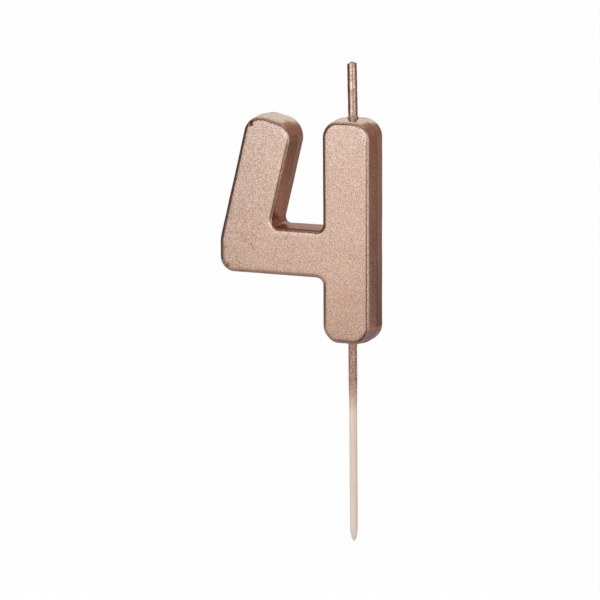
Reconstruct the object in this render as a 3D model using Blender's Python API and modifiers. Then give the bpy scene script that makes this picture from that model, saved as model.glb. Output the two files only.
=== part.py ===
"""Number birthday candle: a moulded wax numeral four on a wooden pick, lit by a primed cotton wick.

The numeral stands upright and reads from the front, which faces -Y, with the stem's axis on Z.
The origin lies on that axis at the numeral's underside, where the pick leaves the wax.
"""

import math

import bmesh
import bpy
from mathutils import Matrix, Vector

MM = 0.001

# Numeral: the stem is the four's tall stroke, the bar crosses it and the arm rises from the elbow
NUMERAL_HEIGHT = 56.1 * MM
NUMERAL_DEPTH = 8.6 * MM
STEM_WIDTH = 13.1 * MM
BAR_UNDERSIDE = 15.9 * MM
BAR_HEIGHT = 12.5 * MM
ELBOW_REACH = 35.2 * MM
ELBOW_HEIGHT = 8.6 * MM
ARM_LENGTH = 34.0 * MM
ARM_WIDTH = 13.3 * MM
ARM_LEAN = math.radians(14.2)

# Radii of the numeral's outline, in the order in which it is drawn
STEM_FOOT_RADIUS = 4.2 * MM
STEM_TOP_RADIUS = 4.65 * MM
STEM_ARMPIT_RADIUS = 1.1 * MM
CROTCH_RADIUS = 1.6 * MM
ARM_TOP_RADIUS = 5.2 * MM
ELBOW_BEND_RADIUS = 8.0 * MM
ELBOW_CORNER_RADIUS = 4.0 * MM
BAR_ARMPIT_RADIUS = 1.65 * MM

# The mould opens front and back, so each wall slopes away from the parting plane at half depth
MOULD_DRAFT = math.radians(2.0)
EDGE_RADIUS = 1.2 * MM

# Wick: three twisted cotton plies in a sheath of priming wax, set in the stem and sealed at its top
WICK_DIAMETER = 2.4 * MM
WICK_STANDING = 13.7 * MM
WICK_SET_DEPTH = 38.0 * MM
WICK_LEAN = math.radians(-1.0)
PLY_COUNT = 3
PLY_DIAMETER = 0.62 * MM
PLY_LAY = 10.0 * MM
PLY_PROUD = 0.4 * MM
SEAL_DIAMETER = 3.6 * MM
SEAL_HEIGHT = 0.8 * MM
SEAL_LIP = 0.12 * MM

# Pick: a round wooden stick with a bullet point, pressed into the stem's foot
PICK_DIAMETER = 2.0 * MM
PICK_LENGTH = 65.0 * MM
PICK_SET_DEPTH = 13.0 * MM
PICK_POINT_LENGTH = 4.2 * MM
PICK_END_CHAMFER = 0.2 * MM
PICK_LEAN = math.radians(-0.4)

# Clearances between pieces
SOCKET_GAP = 0.2 * MM
PLY_GAP = 0.1 * MM

# Fineness of round stretches, and where shading and merging stop
ARC_STEP = math.radians(10.0)
EDGE_STEPS = 6
TURNED_STEPS = 28
POINT_STEPS = 8
POINTS_PER_LAY = 12
SEAL_STEPS = 5
SHARP_ANGLE = math.radians(40.0)
MERGE_DISTANCE = 0.001 * MM

# Sprayed rose-gold lacquer, bare cotton and bare wood: colour, roughness and metallic value
LACQUER = ((0.67, 0.42, 0.34), 0.32, 0.9)
PRIMING = ((0.55, 0.33, 0.26), 0.35, 0.8)
COTTON = ((0.72, 0.63, 0.54), 0.9, 0.0)
WOOD = ((0.72, 0.60, 0.50), 0.65, 0.0)


def clear_scene():
    """Removes everything that the scene starts with."""
    for item in list(bpy.data.objects):
        bpy.data.objects.remove(item, do_unlink=True)


def new_collection(name):
    """Makes a collection in the scene."""
    collection = bpy.data.collections.new(name)
    bpy.context.scene.collection.children.link(collection)
    return collection


def surface(name, finish):
    """Makes a plain material from a colour, a roughness and a metallic value."""
    colour, roughness, metallic = finish
    material = bpy.data.materials.new(name)
    material.use_nodes = True
    shader = material.node_tree.nodes["Principled BSDF"]
    shader.inputs["Base Color"].default_value = (*colour, 1.0)
    shader.inputs["Roughness"].default_value = roughness
    shader.inputs["Metallic"].default_value = metallic
    return material


def place(name, data, collection, finish=None, parent=None):
    """Adds an object for a mesh or curve, with its own material and an axis to stand on."""
    item = bpy.data.objects.new(name, data)
    collection.objects.link(item)
    item.parent = parent
    if finish:
        data.materials.append(surface(name, finish))
    return item


def axis_empty(name, collection, height, lean):
    """Makes the leaning axis that a wick or pick is built along."""
    empty = place(name, None, collection)
    empty.location = (0.0, 0.0, height)
    empty.rotation_euler = (0.0, lean, 0.0)
    return empty


def smooth(mesh):
    """Shades a round piece smooth, keeping its cut ends sharp."""
    mesh.shade_smooth()
    mesh.set_sharp_from_angle(angle=SHARP_ANGLE)


def numeral_corners():
    """Lists the outline's corners with their radii, anticlockwise as read from the front."""
    side = STEM_WIDTH / 2
    bar_top = BAR_UNDERSIDE + BAR_HEIGHT
    along = Vector((math.sin(ARM_LEAN), math.cos(ARM_LEAN)))
    across = Vector((math.cos(ARM_LEAN), -math.sin(ARM_LEAN)))
    elbow_corner = Vector((-ELBOW_REACH, BAR_UNDERSIDE))
    elbow_bend = elbow_corner + Vector((0.0, ELBOW_HEIGHT))
    arm_outer = elbow_bend + along * ARM_LENGTH
    arm_inner = arm_outer + across * ARM_WIDTH
    crotch = arm_inner - along * ((arm_inner.y - bar_top) / along.y)
    return [
        (Vector((-side, 0.0)), STEM_FOOT_RADIUS),
        (Vector((side, 0.0)), STEM_FOOT_RADIUS),
        (Vector((side, NUMERAL_HEIGHT)), STEM_TOP_RADIUS),
        (Vector((-side, NUMERAL_HEIGHT)), STEM_TOP_RADIUS),
        (Vector((-side, bar_top)), STEM_ARMPIT_RADIUS),
        (crotch, CROTCH_RADIUS),
        (arm_inner, ARM_TOP_RADIUS),
        (arm_outer, ARM_TOP_RADIUS),
        (elbow_bend, ELBOW_BEND_RADIUS),
        (elbow_corner, ELBOW_CORNER_RADIUS),
        (Vector((-side, BAR_UNDERSIDE)), BAR_ARMPIT_RADIUS),
    ]


def fillet(before, corner, after, radius):
    """Returns the points of the arc that rounds one corner."""
    back = (before - corner).normalized()
    ahead = (after - corner).normalized()
    turn = math.pi - back.angle(ahead)
    start = corner + back * radius * math.tan(turn / 2)
    centre = corner + (back + ahead).normalized() * radius / math.cos(turn / 2)
    side = 1.0 if ahead.cross(back) > 0.0 else -1.0
    steps = max(2, math.ceil(turn / ARC_STEP))
    spoke = start - centre
    return [centre + Matrix.Rotation(side * turn * i / steps, 2) @ spoke for i in range(steps + 1)]


def numeral_outline():
    """Joins the corners' arcs into the outline at the parting plane, the widest one."""
    corners = numeral_corners()
    points = []
    for index, (corner, radius) in enumerate(corners):
        before = corners[index - 1][0]
        after = corners[(index + 1) % len(corners)][0]
        points.extend(fillet(before, corner, after, radius))
    return points


def mould_steps():
    """Yields the inset and rise of each ring from the parting plane to the flat front."""
    wall_rise = NUMERAL_DEPTH / 2 - EDGE_RADIUS * (1.0 - math.sin(MOULD_DRAFT))
    yield wall_rise * math.tan(MOULD_DRAFT), wall_rise
    sweep = (math.pi / 2 - MOULD_DRAFT) / EDGE_STEPS
    for step in range(EDGE_STEPS):
        low = MOULD_DRAFT + sweep * step
        high = low + sweep
        yield EDGE_RADIUS * (math.cos(low) - math.cos(high)), EDGE_RADIUS * (math.sin(high) - math.sin(low))


def numeral_half_mesh():
    """Draws the front half of the casting, open at the parting plane."""
    form = bmesh.new()
    outline = [form.verts.new((point.x, 0.0, point.y)) for point in numeral_outline()]
    front = form.faces.new(outline)
    front.normal_update()
    for inset, rise in mould_steps():
        bmesh.ops.inset_region(form, faces=[front], thickness=inset, depth=rise,
                               use_boundary=True, use_even_offset=True)
    mesh = bpy.data.meshes.new("numeral_body")
    form.to_mesh(mesh)
    form.free()
    return mesh


def socket_cutter(name, collection, axis, diameter, bottom, top):
    """Makes a round cutter along a wick's or pick's axis."""
    form = bmesh.new()
    bmesh.ops.create_cone(form, cap_ends=True, segments=TURNED_STEPS, radius1=diameter / 2,
                          radius2=diameter / 2, depth=top - bottom,
                          matrix=Matrix.Translation((0.0, 0.0, (top + bottom) / 2)))
    mesh = bpy.data.meshes.new(name)
    form.to_mesh(mesh)
    form.free()
    cutter = place(name, mesh, collection, parent=axis)
    cutter.hide_render = True
    cutter.display_type = "WIRE"
    return cutter


def build_numeral_body(parts, cutters):
    """Mirrors the half casting at the parting plane and opens the wick's and the pick's sockets."""
    body = place("numeral_body", numeral_half_mesh(), parts, LACQUER)
    smooth(body.data)
    mirror = body.modifiers.new("parting_plane", "MIRROR")
    mirror.use_axis = (False, True, False)
    mirror.merge_threshold = MERGE_DISTANCE
    for cutter in cutters:
        cut = body.modifiers.new(cutter.name, "BOOLEAN")
        cut.operation = "DIFFERENCE"
        cut.solver = "EXACT"
        cut.object = cutter
    return body


def turned(name, profile, collection, finish, axis, ring=False):
    """Turns a profile of (radius, height) points, listed down its outer side, about an axis."""
    form = bmesh.new()
    points = [form.verts.new((radius, 0.0, height)) for radius, height in profile]
    for start, end in zip(points, points[1:]):
        form.edges.new((start, end))
    if ring:
        form.edges.new((points[-1], points[0]))
    mesh = bpy.data.meshes.new(name)
    form.to_mesh(mesh)
    form.free()
    item = place(name, mesh, collection, finish, axis)
    screw = item.modifiers.new("turn", "SCREW")
    screw.steps = TURNED_STEPS
    screw.render_steps = TURNED_STEPS
    screw.use_merge_vertices = True
    screw.merge_threshold = MERGE_DISTANCE
    screw.use_smooth_shade = True
    return item


def ply_circle_radius():
    """Returns the radius of the circle that the plies' centres wind on, leaving their gap."""
    return (PLY_DIAMETER + PLY_GAP) / (2 * math.sin(math.pi / PLY_COUNT))


def build_wick_ply(number, parts, axis):
    """Winds one cotton ply down the wick's whole length."""
    circle = ply_circle_radius()
    top = WICK_STANDING + PLY_PROUD
    bottom = PLY_GAP - WICK_SET_DEPTH
    first = 2 * math.pi * number / PLY_COUNT
    steps = math.ceil((top - bottom) / PLY_LAY * POINTS_PER_LAY)
    curve = bpy.data.curves.new(f"wick_ply_{number}", "CURVE")
    curve.dimensions = "3D"
    curve.bevel_depth = PLY_DIAMETER / 2
    curve.bevel_resolution = 1
    curve.use_fill_caps = True
    spline = curve.splines.new("POLY")
    spline.points.add(steps)
    for step, point in enumerate(spline.points):
        height = top + (bottom - top) * step / steps
        angle = first + 2 * math.pi * height / PLY_LAY
        point.co = (circle * math.cos(angle), circle * math.sin(angle), height, 1.0)
    return place(curve.name, curve, parts, COTTON, axis)


def build_wick_sheath(parts, axis):
    """Turns the tube of priming wax that holds the plies together."""
    outer = WICK_DIAMETER / 2
    inner = ply_circle_radius() + PLY_DIAMETER / 2 + PLY_GAP
    shoulder = (outer - inner) / 2
    profile = [
        (outer - shoulder, WICK_STANDING),
        (outer, WICK_STANDING - shoulder),
        (outer, -WICK_SET_DEPTH),
        (inner, -WICK_SET_DEPTH),
        (inner, WICK_STANDING),
    ]
    return turned("wick_sheath", profile, parts, PRIMING, axis, ring=True)


def build_wick_seal(parts, axis):
    """Turns the bead of wax that closes the wick's socket, drawn up the wick as a meniscus."""
    inner = WICK_DIAMETER / 2 + SOCKET_GAP
    outer = SEAL_DIAMETER / 2
    draw_in = outer - inner - SEAL_LIP
    base = SOCKET_GAP
    rise = SEAL_HEIGHT - SEAL_LIP
    profile = [(inner, base + SEAL_HEIGHT), (inner + SEAL_LIP, base + SEAL_HEIGHT)]
    for step in range(1, SEAL_STEPS + 1):
        angle = math.pi / 2 * step / SEAL_STEPS
        profile.append((inner + SEAL_LIP + draw_in * (1.0 - math.cos(angle)),
                        base + SEAL_HEIGHT - rise * math.sin(angle)))
    profile += [(outer, base), (inner, base)]
    return turned("wick_seal", profile, parts, LACQUER, axis, ring=True)


def build_pick(parts, axis):
    """Turns the wooden pick, cut square at its set end and drawn to a bullet point at the other."""
    radius = PICK_DIAMETER / 2
    tip = PICK_SET_DEPTH - PICK_LENGTH
    profile = [
        (0.0, PICK_SET_DEPTH),
        (radius - PICK_END_CHAMFER, PICK_SET_DEPTH),
        (radius, PICK_SET_DEPTH - PICK_END_CHAMFER),
    ]
    for step in range(POINT_STEPS):
        angle = math.pi / 2 * step / POINT_STEPS
        profile.append((radius * math.cos(angle), tip + PICK_POINT_LENGTH * (1.0 - math.sin(angle))))
    profile.append((0.0, tip))
    return turned("pick", profile, parts, WOOD, axis)


def build():
    """Builds the candle's pieces along the wick's and the pick's axes."""
    clear_scene()
    parts = new_collection("number_candle")
    tools = new_collection("cutters")
    wick_axis = axis_empty("wick_axis", parts, NUMERAL_HEIGHT, WICK_LEAN)
    pick_axis = axis_empty("pick_axis", parts, 0.0, PICK_LEAN)
    wick_socket = socket_cutter("wick_socket", tools, wick_axis, WICK_DIAMETER + 2 * SOCKET_GAP,
                                -WICK_SET_DEPTH - SOCKET_GAP, WICK_STANDING)
    pick_socket = socket_cutter("pick_socket", tools, pick_axis, PICK_DIAMETER + 2 * SOCKET_GAP,
                                PICK_SET_DEPTH - PICK_LENGTH, PICK_SET_DEPTH + SOCKET_GAP)
    build_numeral_body(parts, (wick_socket, pick_socket))
    for number in range(1, PLY_COUNT + 1):
        build_wick_ply(number, parts, wick_axis)
    build_wick_sheath(parts, wick_axis)
    build_wick_seal(parts, wick_axis)
    build_pick(parts, pick_axis)


build()
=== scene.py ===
"""Finished look of the number birthday candle: a lacquered wax four, its primed wick and its wooden pick."""

import logging
import math
from collections.abc import Callable, Iterator
from contextlib import contextmanager
from dataclasses import dataclass, replace
from enum import Enum
from itertools import chain, pairwise
from typing import Any, NamedTuple

import bmesh
import bpy
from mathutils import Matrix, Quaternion, Vector


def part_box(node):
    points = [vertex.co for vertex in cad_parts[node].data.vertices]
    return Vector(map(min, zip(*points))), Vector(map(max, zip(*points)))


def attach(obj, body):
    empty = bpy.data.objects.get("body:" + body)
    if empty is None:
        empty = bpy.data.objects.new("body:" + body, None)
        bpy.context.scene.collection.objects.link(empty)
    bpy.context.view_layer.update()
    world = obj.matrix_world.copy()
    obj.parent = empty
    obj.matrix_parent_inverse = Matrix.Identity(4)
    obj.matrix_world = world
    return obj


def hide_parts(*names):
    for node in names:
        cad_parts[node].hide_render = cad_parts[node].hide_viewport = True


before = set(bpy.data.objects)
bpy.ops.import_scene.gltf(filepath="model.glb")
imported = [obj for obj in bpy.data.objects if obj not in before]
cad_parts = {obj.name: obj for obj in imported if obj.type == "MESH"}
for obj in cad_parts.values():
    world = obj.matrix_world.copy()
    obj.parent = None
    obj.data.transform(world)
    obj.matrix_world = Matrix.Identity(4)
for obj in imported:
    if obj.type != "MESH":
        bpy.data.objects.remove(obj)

MM = 0.001
# Places closer together than NEAR count as one place, and points within WELD are merged.
NEAR = 0.01 * MM
WELD = 0.001 * MM
# The middle of a pattern whose values run from 0 to 1, and the detail of a fine pattern.
MIDDLE = 0.5
FINE_DETAIL = 3.0
WHITE = (1.0, 1.0, 1.0, 1.0)
BODY = "root"
log = logging.getLogger("candle")

Colour = tuple[float, float, float]
Axis = tuple[float, float, float]
ALONG_X: Axis = (1.0, 0.0, 0.0)
ALONG_Y: Axis = (0.0, 1.0, 0.0)
ALONG_Z: Axis = (0.0, 0.0, 1.0)


class Part(Enum):
    """The kind of mesh element that a selection is made of."""

    POINT = "VERT"
    EDGE = "EDGE"
    FACE = "FACE"


class Mix(Enum):
    """What a Mix node mixes: its data type, and the places of its two inputs and of its output."""

    COLOURS = ("RGBA", 6, 7, 2)
    NORMALS = ("VECTOR", 4, 5, 1)


class Slot(Enum):
    """The record's material slots."""

    LACQUER = "rose_gold_lacquer"
    WICK = "primed_wick"
    COTTON = "cotton"
    WOOD = "pale_wood"


class Socket:
    """An output of a shader tree. Arithmetic on values adds Math nodes."""

    def __init__(self, graph: "ShaderGraph", output: bpy.types.NodeSocket) -> None:
        """Wraps one output of a tree."""
        self.graph = graph
        self.output = output

    def _math(self, operation: str, first: Any, second: Any) -> "Socket":
        """Adds one Math node on two values."""
        return self.graph.add("ShaderNodeMath", {"operation": operation}, {0: first, 1: second})

    def __add__(self, other: Any) -> "Socket":
        """Adds a value to this one."""
        return self._math("ADD", self, other)

    def __radd__(self, other: Any) -> "Socket":
        """Adds this value to a number."""
        return self._math("ADD", other, self)

    def __sub__(self, other: Any) -> "Socket":
        """Takes a value from this one."""
        return self._math("SUBTRACT", self, other)

    def __rsub__(self, other: Any) -> "Socket":
        """Takes this value from a number."""
        return self._math("SUBTRACT", other, self)

    def __mul__(self, other: Any) -> "Socket":
        """Multiplies this value by another."""
        return self._math("MULTIPLY", self, other)

    def __rmul__(self, other: Any) -> "Socket":
        """Multiplies a number by this value."""
        return self._math("MULTIPLY", other, self)

    def __abs__(self) -> "Socket":
        """Drops the sign of this value."""
        return self._math("ABSOLUTE", self, 0.0)

    def at_most(self, other: Any) -> "Socket":
        """Takes the smaller of this value and another."""
        return self._math("MINIMUM", self, other)

    def at_least(self, other: Any) -> "Socket":
        """Takes the larger of this value and another."""
        return self._math("MAXIMUM", self, other)

    def step(self, low: float, high: float) -> "Socket":
        """Rises smoothly from 0 to 1 as this value goes from low to high.

        Args:
            low: the value at which the rise starts.
            high: the value at which it ends.

        Returns:
            The risen value, which stays between 0 and 1.
        """
        return self.graph.add("ShaderNodeMapRange", {"interpolation_type": "SMOOTHSTEP"},
                              {"Value": self, "From Min": low, "From Max": high})


class ShaderGraph:
    """A node tree under construction."""

    def __init__(self, tree: bpy.types.NodeTree) -> None:
        """Empties a tree and starts on it."""
        self.tree = tree
        tree.nodes.clear()

    def add(self, kind: str, settings: dict[str, Any] | None = None,
            inputs: dict[str | int, Any] | None = None, output: str | int = 0) -> Socket:
        """Adds one node.

        Args:
            kind: the node's type.
            settings: the node's own properties, which are set first.
            inputs: values or sockets for the node's inputs, by name or by place.
            output: the output to hand back, by name or by place.

        Returns:
            That output, ready for more nodes.
        """
        node = self.tree.nodes.new(kind)
        for name, value in (settings or {}).items():
            setattr(node, name, value)
        for key, value in (inputs or {}).items():
            if isinstance(value, Socket):
                self.tree.links.new(value.output, node.inputs[key])
            else:
                node.inputs[key].default_value = value
        return Socket(self, node.outputs[output] if node.outputs else None)

    def _mix(self, kind: Mix, factor: Any, first: Any, second: Any) -> Socket:
        """Adds one Mix node."""
        name, first_place, second_place, result = kind.value
        return self.add("ShaderNodeMix", {"data_type": name},
                        {0: factor, first_place: first, second_place: second}, result)

    def blend(self, factor: Any, first: Any, second: Any) -> Socket:
        """Mixes two colours by a factor."""
        chosen = [value if isinstance(value, Socket) else (*value, 1.0) for value in (first, second)]
        return self._mix(Mix.COLOURS, factor, *chosen)

    def turned(self, factor: Socket, first: Socket, second: Socket) -> Socket:
        """Mixes two normals by a factor."""
        return self._mix(Mix.NORMALS, factor, first, second)

    def vector(self, operation: str, first: Any, second: Any, output: str = "Vector") -> Socket:
        """Adds one Vector Math node on two vectors."""
        return self.add("ShaderNodeVectorMath", {"operation": operation}, {0: first, 1: second}, output)

    def unit(self, vector: Socket) -> Socket:
        """Gives a vector the length 1."""
        return self.add("ShaderNodeVectorMath", {"operation": "NORMALIZE"}, {0: vector}, "Vector")

    def scaled(self, vector: Socket, factor: float) -> Socket:
        """Lengthens a vector by a factor."""
        settings = {"operation": "SCALE"}
        return self.add("ShaderNodeVectorMath", settings, {0: vector, "Scale": factor}, "Vector")

    def along(self, vector: Socket, direction: Axis) -> Socket:
        """Measures a vector along a fixed direction."""
        return self.vector("DOT_PRODUCT", vector, direction, "Value")

    def distance(self, place: Socket, spot: Vector) -> Socket:
        """Measures how far a place lies from a fixed spot."""
        return self.vector("DISTANCE", place, spot, "Value")

    def place(self) -> Socket:
        """Gives the place on the piece, in metres."""
        return self.add("ShaderNodeTexCoord", output="Object")

    def stretched(self, scale: Axis) -> Socket:
        """Gives the place on the piece with each axis scaled, for a pattern that runs one way."""
        return self.add("ShaderNodeMapping", inputs={"Vector": self.place(), "Scale": scale})

    def noise(self, vector: Socket, size: float, detail: float = 2.0, output: str = "Fac") -> Socket:
        """Adds a cloudy pattern with spots of about a given size."""
        return self.add("ShaderNodeTexNoise", None,
                        {"Vector": vector, "Scale": 1.0 / size, "Detail": detail}, output)

    def cells(self, vector: Socket, size: float) -> Socket:
        """Adds a pattern of cells of a given size, each with its own random colour."""
        return self.add("ShaderNodeTexVoronoi", None, {"Vector": vector, "Scale": 1.0 / size}, "Color")

    def channel(self, colour: Socket, name: str) -> Socket:
        """Takes one channel of a colour as a value."""
        return self.add("ShaderNodeSeparateColor", None, {"Color": colour}, name)

    def bump(self, height: Socket, distance: float, strength: float = 1.0,
             normal: Socket | None = None) -> Socket:
        """Turns a height pattern into a normal.

        Args:
            height: the pattern, from 0 to 1.
            distance: how far its highest points stand out, in metres.
            strength: how much of the effect is kept.
            normal: the normal to start from, where it isn't the surface's own.

        Returns:
            The bent normal.
        """
        inputs = {"Height": height, "Distance": distance, "Strength": strength}
        if normal is not None:
            inputs["Normal"] = normal
        return self.add("ShaderNodeBump", None, inputs)

    def end(self, kind: str, shader: Socket) -> None:
        """Joins a shader to the tree's output node."""
        self.add(kind, None, {"Surface": shader})


class Layer(NamedTuple):
    """What one finish says about a spot of the surface."""

    colour: Socket
    roughness: Socket
    normal: Socket


def new_material(name: str) -> tuple[bpy.types.Material, ShaderGraph]:
    """Starts an empty node material.

    Args:
        name: the material's name.

    Returns:
        The material and the graph of its tree.
    """
    material = bpy.data.materials.new(name)
    material.use_nodes = True
    return material, ShaderGraph(material.node_tree)


class Finish:
    """What every finish shares: a material that is one shader."""

    def sockets(self, graph: ShaderGraph) -> dict[str, Any]:
        """Gives the values and links of the shader's sockets."""
        raise NotImplementedError

    def material(self, name: str) -> bpy.types.Material:
        """Makes the material.

        Args:
            name: the material's name.

        Returns:
            The material.
        """
        material, graph = new_material(name)
        shader = graph.add("ShaderNodeBsdfPrincipled", None, self.sockets(graph))
        graph.end("ShaderNodeOutputMaterial", shader)
        return material


@dataclass(frozen=True)
class Crook:
    """The inside of a bend, where the lacquer is painted darker and browner: painted shade, and a painted
    reflection of the walls next to it.
    """

    corner: float
    reach: float
    floor: float
    top: float
    front: float
    back: float
    edge: float

    def mask(self, graph: ShaderGraph, place: Socket) -> Socket:
        """Tells how far a spot lies in the crook.

        Args:
            graph: the material's graph.
            place: the place on the piece.

        Returns:
            A value from 0 to 1, which is largest low down.
        """
        aside = graph.along(place, ALONG_X) - self.corner
        depth = graph.along(place, ALONG_Y)
        height = graph.along(place, ALONG_Z)
        near = aside.step(-self.edge, 0.0) * (1.0 - aside.step(self.reach - self.edge, self.reach))
        low = height.step(self.floor - self.edge, self.floor) * (1.0 - height.step(self.floor, self.top))
        front = depth.step(self.front - self.edge, self.front)
        back = depth.step(self.back - self.edge, self.back)
        return near * low * front * (1.0 - back)


class NickShade(NamedTuple):
    """A spot of painted shade in a nick: a dark brown patch that darkens the lacquer in the recess."""

    spot: Vector
    size: float


@dataclass(frozen=True)
class RoseGoldLacquer(Finish):
    """Sprayed metallic lacquer: fine copper-pink flake in a clear binder."""

    light: Colour = (1.0, 0.765, 0.635)
    dark: Colour = (0.385, 0.235, 0.175)
    flake: float = 0.105 * MM
    tilt_spread: float = 0.08
    cluster: float = 0.9 * MM
    cluster_share: float = 0.05
    roughness: float = 0.21
    roughness_spread: float = 0.08
    peel: float = 1.3 * MM
    peel_depth: float = 0.003 * MM
    coat: float = 0.1
    coat_roughness: float = 0.15
    # Painted shade in the crook: the colour that the lacquer there is multiplied by, standing in for shade
    # and for the reflection of the walls next to it.
    crook_shade: Colour = (0.44, 0.14, 0.06)
    painted_shade_roughness: float = 0.16
    crook: Crook | None = None
    # Painted shade in the nicks: the dark brown that each nick's spot is painted, standing in for the shade
    # in the recess.
    wax: Colour = (0.42, 0.23, 0.18)
    nick_shades: tuple[NickShade, ...] = ()
    nick_shade_core: float = 0.6

    def layer(self, graph: ShaderGraph) -> Layer:
        """Draws the flake, each speck with its own tone and its own tilt.

        Args:
            graph: the material's graph.

        Returns:
            The lacquer's colour, roughness and normal.
        """
        place = graph.place()
        speck = graph.cells(place, self.flake)
        cloud = graph.noise(place, self.cluster)
        tone = graph.channel(speck, "Red") * (1.0 - self.cluster_share) + cloud * self.cluster_share
        colour = graph.blend(tone, self.dark, self.light)
        roughness = self.roughness + (graph.channel(speck, "Green") - MIDDLE) * self.roughness_spread
        # Painted shade in the crook: darker, browner and rougher low down between bar, arm and stem.
        if self.crook:
            crook_shading = self.crook.mask(graph, place)
            colour = graph.blend(crook_shading, colour, graph.vector("MULTIPLY", colour, self.crook_shade))
            roughness = roughness + crook_shading * self.painted_shade_roughness
        # Painted shade in each nick: the colour turns to the dark brown at the nick's middle and fades out
        # towards its rim.
        for shaded_nick in self.nick_shades:
            bare = 1.0 - graph.distance(place, shaded_nick.spot).step(shaded_nick.size * self.nick_shade_core, shaded_nick.size)
            colour = graph.blend(bare, colour, self.wax)
            roughness = roughness + bare * self.painted_shade_roughness
        lean = graph.scaled(graph.vector("SUBTRACT", speck, (MIDDLE,) * 3), self.tilt_spread)
        normal = graph.add("ShaderNodeNewGeometry", output="Normal")
        leaned = graph.unit(graph.vector("ADD", normal, lean))
        peel = graph.bump(graph.noise(place, self.peel), self.peel_depth, normal=leaned)
        return Layer(colour, roughness, peel)

    def sockets(self, graph: ShaderGraph) -> dict[str, Any]:
        """Covers a piece with lacquer all over.

        Args:
            graph: the material's graph.

        Returns:
            The values and links of the shader's sockets.
        """
        layer = self.layer(graph)
        return {"Base Color": layer.colour, "Metallic": 1.0, "Roughness": layer.roughness,
                "Normal": layer.normal, "Coat Weight": self.coat, "Coat Roughness": self.coat_roughness}


@dataclass(frozen=True)
class PaleWood:
    """Bare sawn birch with a fine grain along the stick."""

    light: Colour = (0.77, 0.65, 0.565)
    dark: Colour = (0.67, 0.55, 0.46)
    grain_width: float = 0.22 * MM
    grain_length: float = 9.0 * MM
    contrast: tuple[float, float] = (0.3, 0.75)
    roughness: float = 0.62
    roughness_spread: float = 0.2
    groove: float = 0.02 * MM
    groove_strength: float = 0.6

    def layer(self, graph: ShaderGraph) -> Layer:
        """Draws the grain.

        Args:
            graph: the material's graph.

        Returns:
            The wood's colour, roughness and normal.
        """
        along = graph.stretched((1.0, 1.0, self.grain_width / self.grain_length))
        grain = graph.noise(along, self.grain_width, FINE_DETAIL)
        colour = graph.blend(grain.step(*self.contrast), self.light, self.dark)
        roughness = self.roughness + (grain - MIDDLE) * self.roughness_spread
        return Layer(colour, roughness, graph.bump(grain, self.groove, self.groove_strength))


@dataclass(frozen=True)
class SprayedWood(Finish):
    """The pick's finish: lacquer at the top, fading in specks to bare wood."""

    lacquer: RoseGoldLacquer
    wood: PaleWood
    solid_above: float = -10.5 * MM
    bare_below: float = -18.5 * MM
    speck: float = 0.22 * MM
    spatter: float = 0.35
    film_metallic: float = 0.85

    def sockets(self, graph: ShaderGraph) -> dict[str, Any]:
        """Lays the lacquer over the wood.

        Args:
            graph: the material's graph.

        Returns:
            The values and links of the shader's sockets.
        """
        paint = self.lacquer.layer(graph)
        wood = self.wood.layer(graph)
        place = graph.place()
        height = graph.along(place, ALONG_Z)
        reach = (height - self.bare_below) * (1.0 / (self.solid_above - self.bare_below))
        speckle = graph.noise(place, self.speck)
        cover = (reach + (speckle - MIDDLE) * self.spatter).at_least(0.0).at_most(1.0)
        return {
            "Base Color": graph.blend(cover, wood.colour, paint.colour),
            "Metallic": cover * self.film_metallic,
            "Roughness": wood.roughness + (paint.roughness - wood.roughness) * cover,
            "Normal": graph.turned(cover, wood.normal, paint.normal),
        }


@dataclass(frozen=True)
class CottonYarn(Finish):
    """Cotton stiffened by the priming wax and caught by the spray."""

    light: Colour = (0.86, 0.64, 0.53)
    dark: Colour = (0.48, 0.31, 0.25)
    contrast: tuple[float, float] = (0.3, 0.7)
    metallic: float = 0.7
    roughness: float = 0.5
    fibre_width: float = 0.06 * MM
    fibre_length: float = 0.8 * MM
    fibre_depth: float = 0.03 * MM
    fibre_strength: float = 0.8

    def sockets(self, graph: ShaderGraph) -> dict[str, Any]:
        """Draws the fibres.

        Args:
            graph: the material's graph.

        Returns:
            The values and links of the shader's sockets.
        """
        along = graph.stretched((1.0, 1.0, self.fibre_width / self.fibre_length))
        fibre = graph.noise(along, self.fibre_width, FINE_DETAIL)
        return {
            "Base Color": graph.blend(fibre.step(*self.contrast), self.dark, self.light),
            "Metallic": self.metallic,
            "Roughness": self.roughness,
            "Normal": graph.bump(fibre, self.fibre_depth, self.fibre_strength),
        }


class Lumps(NamedTuple):
    """An unevenness: the size of its lumps, and how far apart its highest and lowest points may be."""

    size: float
    depth: float


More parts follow.
